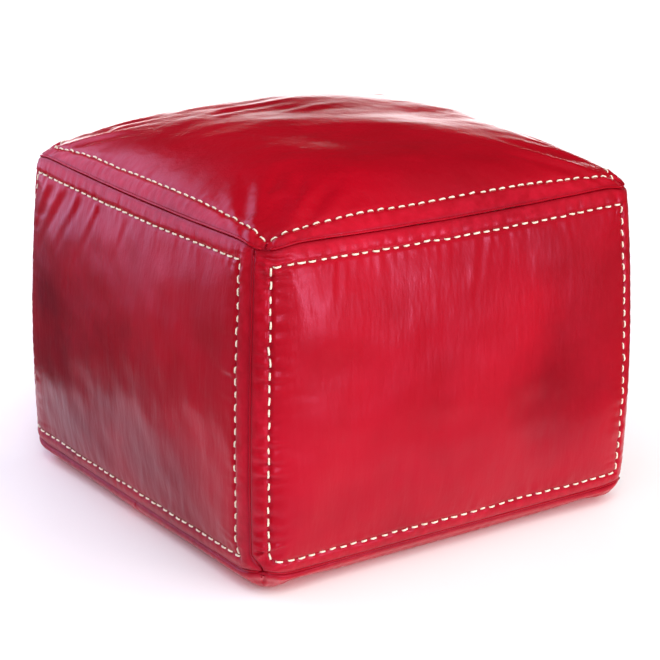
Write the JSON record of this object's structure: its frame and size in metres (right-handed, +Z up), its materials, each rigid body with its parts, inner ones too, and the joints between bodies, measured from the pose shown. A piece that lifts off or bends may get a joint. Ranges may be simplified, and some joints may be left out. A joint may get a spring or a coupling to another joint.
{
  "type": "moroccan leather pouf",
  "caption": "Square stuffed leather pouf with a crowned top, welted seams, cream hand stitching round every panel and a zip across the base.",
  "frame": {"origin": "centre of the footprint on the floor, under the base", "axes": "+Z up from the floor to the crown; -Y out of the front panel; X along the zip"},
  "size_m": [0.4633, 0.4632, 0.3709],
  "materials": {
    "leather_red": "satin",
    "welt_red": "satin",
    "thread_cream": "matte",
    "zip_tape_red": "matte",
    "zip_brass": "satin",
    "calico": "matte",
    "wadding_white": "matte"
  },
  "bodies": {
    "pouf": {"back_panel": "leather_red", "base_panel_back": "leather_red", "base_panel_front": "leather_red", "base_welt_back": "welt_red", "base_welt_front": "welt_red", "base_welt_left": "welt_red", "base_welt_right": "welt_red", "corner_welt_back_left": "welt_red", "corner_welt_front_right": "welt_red", "corner_welt_left_front": "welt_red", "corner_welt_right_back": "welt_red", "front_panel": "leather_red", "inner_bag": "calico", "left_panel": "leather_red", "right_panel": "leather_red", "stitching_back": "thread_cream", "stitching_base_back": "thread_cream", "stitching_base_front": "thread_cream", "stitching_front": "thread_cream", "stitching_left": "thread_cream", "stitching_right": "thread_cream", "stitching_top": "thread_cream", "top_panel": "leather_red", "top_welt_back": "welt_red", "top_welt_front": "welt_red", "top_welt_left": "welt_red", "top_welt_right": "welt_red", "wadding": "wadding_white", "zip_bottom_stop": "zip_brass", "zip_end_tab_left": "leather_red", "zip_end_tab_right": "leather_red", "zip_tape_back": "zip_tape_red", "zip_tape_front": "zip_tape_red", "zip_teeth_back": "zip_brass", "zip_teeth_front": "zip_brass", "zip_top_stop_back": "zip_brass", "zip_top_stop_front": "zip_brass"},
    "slider": {"zip_slider": "zip_brass"},
    "pull": {"zip_pull": "zip_brass"}
  },
  "joints": [
    {"name": "zip_travel", "type": "slide", "parent": "pouf", "child": "slider", "axis": [-1, 0, 0], "range_m": [0, 0.3]},
    {"name": "pull_swing", "type": "hinge", "parent": "slider", "child": "pull", "pos_m": [0.15, 0, 0.0041], "axis": [0, -1, 0], "range_deg": [-8, 160]}
  ]
}
